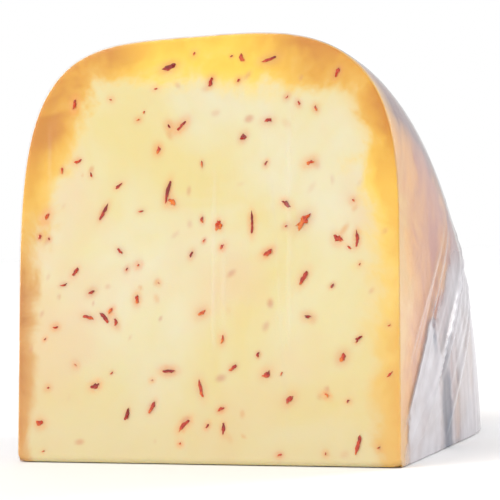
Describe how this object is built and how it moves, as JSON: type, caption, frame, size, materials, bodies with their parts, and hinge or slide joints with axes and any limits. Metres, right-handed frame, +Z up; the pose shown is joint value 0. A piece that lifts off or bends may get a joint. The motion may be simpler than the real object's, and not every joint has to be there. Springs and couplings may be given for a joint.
{
  "type": "cheese wedge",
  "caption": "Quarter of a small round semi-hard cheese with red chili flakes, standing on one cut face in clear stretch film.",
  "frame": {"origin": "middle of the base, on the underside of the film", "axes": "+Z up; -Y towards the upright cut face; X along the wheel's axis, between the wheel's two flat faces"},
  "size_m": [0.1158, 0.1198, 0.1194],
  "materials": {
    "cheese": "satin",
    "film": "gloss",
    "chili": "satin"
  },
  "bodies": {
    "root": {"cheese_wedge": "cheese", "film_wrap": "film", "chili_flake_01": "chili", "chili_flake_02": "chili", "chili_flake_03": "chili", "chili_flake_04": "chili", "chili_flake_05": "chili", "chili_flake_06": "chili", "chili_flake_07": "chili", "chili_flake_08": "chili", "chili_flake_09": "chili", "chili_flake_10": "chili", "chili_flake_11": "chili", "chili_flake_12": "chili", "chili_flake_13": "chili", "chili_flake_14": "chili", "chili_flake_15": "chili", "chili_flake_16": "chili", "chili_flake_17": "chili", "chili_flake_18": "chili", "chili_flake_19": "chili", "chili_flake_20": "chili", "chili_flake_21": "chili", "chili_flake_22": "chili", "chili_flake_23": "chili", "chili_flake_24": "chili", "chili_flake_25": "chili", "chili_flake_26": "chili", "chili_flake_27": "chili", "chili_flake_28": "chili", "chili_flake_29": "chili", "chili_flake_30": "chili", "chili_flake_31": "chili", "chili_flake_32": "chili", "chili_flake_33": "chili", "chili_flake_34": "chili", "chili_flake_35": "chili", "chili_flake_36": "chili"}
  },
  "joints": []
}
